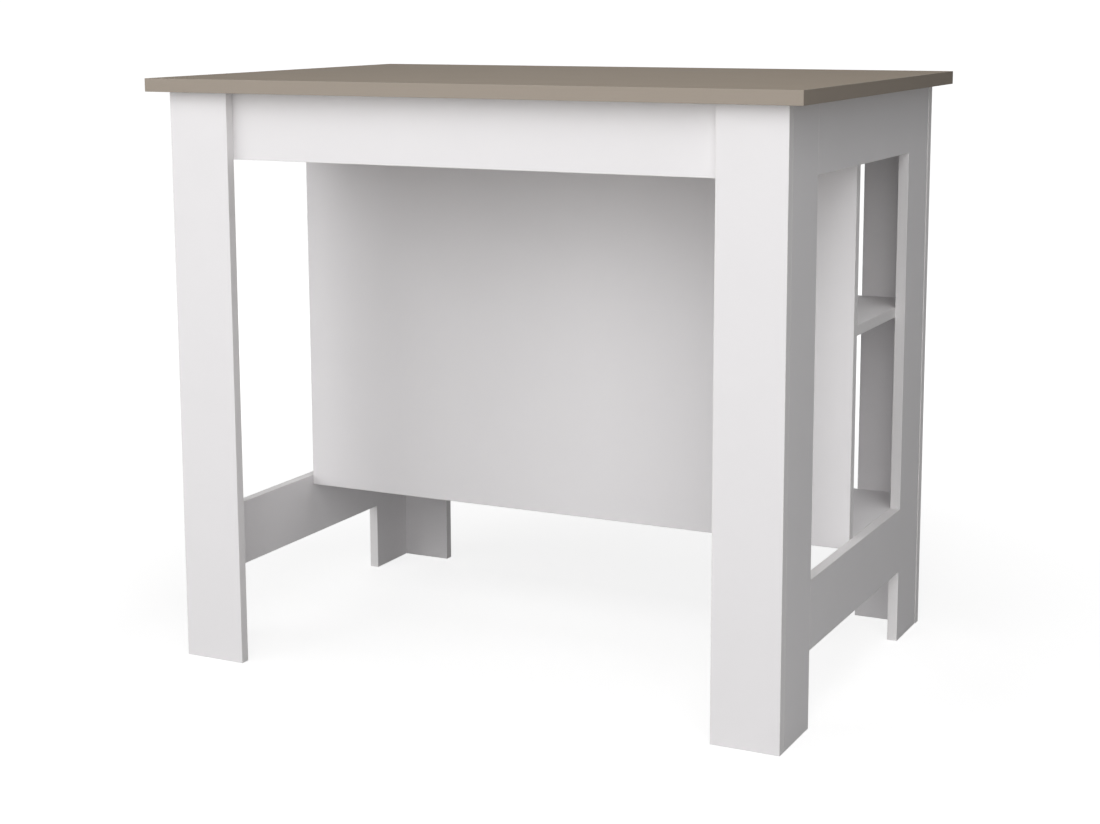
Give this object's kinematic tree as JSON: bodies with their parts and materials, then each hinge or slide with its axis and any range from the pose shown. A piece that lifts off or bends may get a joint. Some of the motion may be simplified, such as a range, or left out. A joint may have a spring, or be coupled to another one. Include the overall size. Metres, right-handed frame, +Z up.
{
  "type": "kitchen island",
  "caption": "Counter-height kitchen island: an overhanging taupe worktop on white L-shaped legs and open side frames, with a wall panel behind the knee space and shelves open to the rear.",
  "frame": {"origin": "on the floor, under the middle of the worktop", "axes": "+X along the worktop to the right as seen from the seating side, +Y from the seating side to the shelf side, +Z up"},
  "size_m": [1.036, 0.712, 0.9],
  "materials": {
    "taupe_laminate": "plain taupe laminate on particle board, satin, with banded edges",
    "white_melamine": "plain white melamine on particle board, satin, with banded edges",
    "beech": "bare beech dowel",
    "zinc": "bare zinc die-casting",
    "zinc_plated_steel": "zinc-plated steel"
  },
  "bodies": {
    "root": {"worktop": "taupe_laminate", "front_apron": "white_melamine", "rear_apron": "white_melamine", "wall_panel": "white_melamine", "lower_shelf": "white_melamine", "middle_shelf": "white_melamine", "left_front_leg_board": "white_melamine", "left_rear_leg_board": "white_melamine", "left_front_post": "white_melamine", "left_rear_post": "white_melamine", "left_top_rail": "white_melamine", "left_bottom_rail": "white_melamine", "right_front_leg_board": "white_melamine", "right_rear_leg_board": "white_melamine", "right_front_post": "white_melamine", "right_rear_post": "white_melamine", "right_top_rail": "white_melamine", "right_bottom_rail": "white_melamine", "left_front_leg_dowel_lower": "beech", "left_front_leg_dowel_upper": "beech", "left_rear_leg_dowel_lower": "beech", "left_rear_leg_dowel_upper": "beech", "right_front_leg_dowel_lower": "beech", "right_front_leg_dowel_upper": "beech", "right_rear_leg_dowel_lower": "beech", "right_rear_leg_dowel_upper": "beech", "lower_shelf_dowel_left": "beech", "lower_shelf_dowel_middle": "beech", "lower_shelf_dowel_right": "beech", "middle_shelf_dowel_left": "beech", "middle_shelf_dowel_middle": "beech", "middle_shelf_dowel_right": "beech", "front_apron_left_cam": "zinc", "front_apron_right_cam": "zinc", "rear_apron_left_cam": "zinc", "rear_apron_right_cam": "zinc", "worktop_front_left_cam": "zinc", "worktop_front_right_cam": "zinc", "worktop_rear_left_cam": "zinc", "worktop_rear_right_cam": "zinc", "wall_panel_left_cam": "zinc", "wall_panel_right_cam": "zinc", "lower_shelf_left_cam": "zinc", "lower_shelf_right_cam": "zinc", "middle_shelf_left_cam": "zinc", "middle_shelf_right_cam": "zinc", "front_apron_left_bolt": "zinc_plated_steel", "front_apron_right_bolt": "zinc_plated_steel", "rear_apron_left_bolt": "zinc_plated_steel", "rear_apron_right_bolt": "zinc_plated_steel", "worktop_front_left_bolt": "zinc_plated_steel", "worktop_front_right_bolt": "zinc_plated_steel", "worktop_rear_left_bolt": "zinc_plated_steel", "worktop_rear_right_bolt": "zinc_plated_steel", "wall_panel_left_bolt": "zinc_plated_steel", "wall_panel_right_bolt": "zinc_plated_steel", "lower_shelf_left_bolt": "zinc_plated_steel", "lower_shelf_right_bolt": "zinc_plated_steel", "middle_shelf_left_bolt": "zinc_plated_steel", "middle_shelf_right_bolt": "zinc_plated_steel"}
  },
  "joints": []
}
